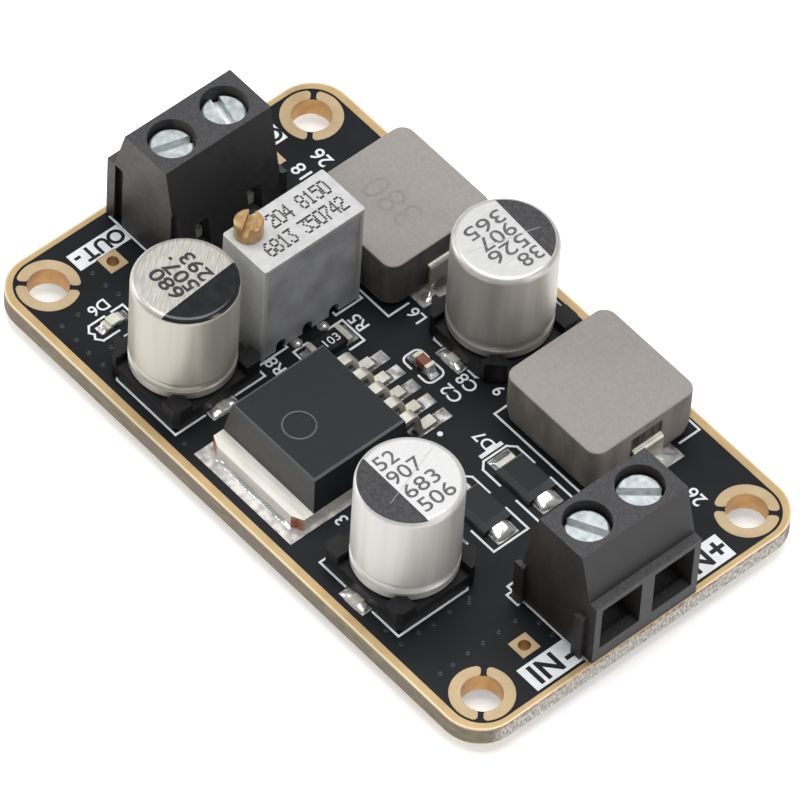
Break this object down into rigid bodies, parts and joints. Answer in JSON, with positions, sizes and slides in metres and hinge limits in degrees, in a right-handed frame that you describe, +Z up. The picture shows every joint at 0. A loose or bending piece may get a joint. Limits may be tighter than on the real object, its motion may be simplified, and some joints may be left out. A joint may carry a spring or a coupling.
{
  "type": "buck converter module",
  "caption": "Step-down voltage converter board with a screw terminal block at each end, can capacitors, moulded inductors, a tabbed regulator and a screw-adjusted trimmer.",
  "frame": {"origin": "centre of the four mounting holes, on the board's underside", "axes": "+X along the board to the input terminals, +Y across it to the inductors' side, +Z up out of the populated face"},
  "size_m": [0.0538, 0.032, 0.0148],
  "materials": {
    "solder_mask": "satin black solder mask over glass fibre board",
    "gold_plating": "thin gold plating over copper",
    "plated_hole": "plated hole wall",
    "board_print": "matt white print",
    "solder": "tin solder",
    "tinned_metal": "satin tinned copper alloy",
    "terminal_plastic": "satin black moulded plastic",
    "zinc_steel": "zinc-plated steel",
    "contact_metal": "tinned brass sheet",
    "can_aluminium": "drawn aluminium with a clear film",
    "can_print": "dark grey print on the can",
    "base_plastic": "black heat-proof plastic",
    "regulator_plastic": "matt black moulding compound",
    "inductor_powder": "pressed metal powder, matt grey",
    "diode_plastic": "matt black moulding compound",
    "resistor_coat": "black glaze over alumina",
    "capacitor_ceramic": "tan ceramic",
    "indicator_base": "white laminate",
    "indicator_lens": "milky clear resin",
    "trimmer_plastic": "pale grey plastic, satin",
    "trimmer_potting": "grey potting resin",
    "track_ceramic": "white alumina",
    "brass": "turned brass",
    "seal_rubber": "black rubber",
    "wheel_plastic": "natural nylon"
  },
  "bodies": {
    "board": {"chip_capacitor_body": "capacitor_ceramic", "chip_capacitor_ends": "tinned_metal", "circuit_board": "solder_mask", "edge_border": "gold_plating", "filter_capacitor_base": "base_plastic", "filter_capacitor_can": "can_aluminium", "filter_capacitor_leads": "tinned_metal", "filter_capacitor_mark": "can_print", "first_diode_body": "diode_plastic", "first_diode_leads": "tinned_metal", "indicator_base": "indicator_base", "indicator_ends": "tinned_metal", "indicator_lens": "indicator_lens", "input_capacitor_base": "base_plastic", "input_capacitor_can": "can_aluminium", "input_capacitor_leads": "tinned_metal", "input_capacitor_mark": "can_print", "input_inductor_body": "inductor_powder", "input_inductor_straps": "tinned_metal", "input_terminal_contacts": "contact_metal", "input_terminal_housing": "terminal_plastic", "mounting_rings": "gold_plating", "output_capacitor_base": "base_plastic", "output_capacitor_can": "can_aluminium", "output_capacitor_leads": "tinned_metal", "output_capacitor_mark": "can_print", "output_inductor_body": "inductor_powder", "output_inductor_straps": "tinned_metal", "output_terminal_contacts": "contact_metal", "output_terminal_housing": "terminal_plastic", "pin_solder": "solder", "plated_barrels": "plated_hole", "regulator_body": "regulator_plastic", "regulator_leads": "tinned_metal", "regulator_tab": "tinned_metal", "resistor_body": "resistor_coat", "resistor_ends": "tinned_metal", "second_diode_body": "diode_plastic", "second_diode_leads": "tinned_metal", "silkscreen": "board_print", "solder_joints": "solder", "solder_lands": "solder", "tap_pads": "gold_plating", "trimmer_cover": "trimmer_potting", "trimmer_element": "track_ceramic", "trimmer_housing": "trimmer_plastic", "trimmer_pins": "tinned_metal", "trimmer_seal": "seal_rubber"},
    "trimmer_screw": {"trimmer_screw": "brass"},
    "trimmer_wheel": {"trimmer_wheel": "wheel_plastic"},
    "input_screw_negative": {"input_screw_negative": "zinc_steel"},
    "input_clamp_negative": {"input_clamp_negative": "zinc_steel"},
    "input_screw_positive": {"input_screw_positive": "zinc_steel"},
    "input_clamp_positive": {"input_clamp_positive": "zinc_steel"},
    "output_screw_negative": {"output_screw_negative": "zinc_steel"},
    "output_clamp_negative": {"output_clamp_negative": "zinc_steel"},
    "output_screw_positive": {"output_screw_positive": "zinc_steel"},
    "output_clamp_positive": {"output_clamp_positive": "zinc_steel"}
  },
  "joints": [
    {"name": "input_screw_negative_turn", "type": "hinge", "parent": "board", "child": "input_screw_negative", "pos_m": [0.02267, -0.0025, 0.0104], "axis": [0, 0, -1], "range_deg": [0, 1680.01]},
    {"name": "input_clamp_negative_rise", "type": "slide", "parent": "board", "child": "input_clamp_negative", "axis": [0, 0, 1], "range_m": [0, 0.0021]},
    {"name": "input_screw_positive_turn", "type": "hinge", "parent": "board", "child": "input_screw_positive", "pos_m": [0.02267, 0.0025, 0.0104], "axis": [0, 0, -1], "range_deg": [0, 1680.01]},
    {"name": "input_clamp_positive_rise", "type": "slide", "parent": "board", "child": "input_clamp_positive", "axis": [0, 0, 1], "range_m": [0, 0.0021]},
    {"name": "output_screw_negative_turn", "type": "hinge", "parent": "board", "child": "output_screw_negative", "pos_m": [-0.02227, -0.0025, 0.0104], "axis": [0, 0, -1], "range_deg": [0, 1680.01]},
    {"name": "output_clamp_negative_rise", "type": "slide", "parent": "board", "child": "output_clamp_negative", "axis": [0, 0, 1], "range_m": [0, 0.0021]},
    {"name": "output_screw_positive_turn", "type": "hinge", "parent": "board", "child": "output_screw_positive", "pos_m": [-0.02227, 0.0025, 0.0104], "axis": [0, 0, -1], "range_deg": [0, 1680.01]},
    {"name": "output_clamp_positive_rise", "type": "slide", "parent": "board", "child": "output_clamp_positive", "axis": [0, 0, 1], "range_m": [0, 0.0021]},
    {"name": "trimmer_screw_turn", "type": "hinge", "parent": "board", "child": "trimmer_screw", "pos_m": [-0.0121, -0.00395, 0.0123], "axis": [0, 0, -1], "continuous": true},
    {"name": "trimmer_wheel_turn", "type": "hinge", "parent": "board", "child": "trimmer_wheel", "pos_m": [-0.0121, 0.00025, 0.00735], "axis": [1, 0, 0], "continuous": true}
  ],
  "couplings": [
    {"joint": "input_screw_negative_turn", "follows": "input_clamp_negative_rise", "rad_per_m": 13963},
    {"joint": "input_screw_positive_turn", "follows": "input_clamp_positive_rise", "rad_per_m": 13963},
    {"joint": "output_screw_negative_turn", "follows": "output_clamp_negative_rise", "rad_per_m": 13963},
    {"joint": "output_screw_positive_turn", "follows": "output_clamp_positive_rise", "rad_per_m": 13963},
    {"joint": "trimmer_wheel_turn", "follows": "trimmer_screw_turn", "ratio": 0.033333}
  ]
}
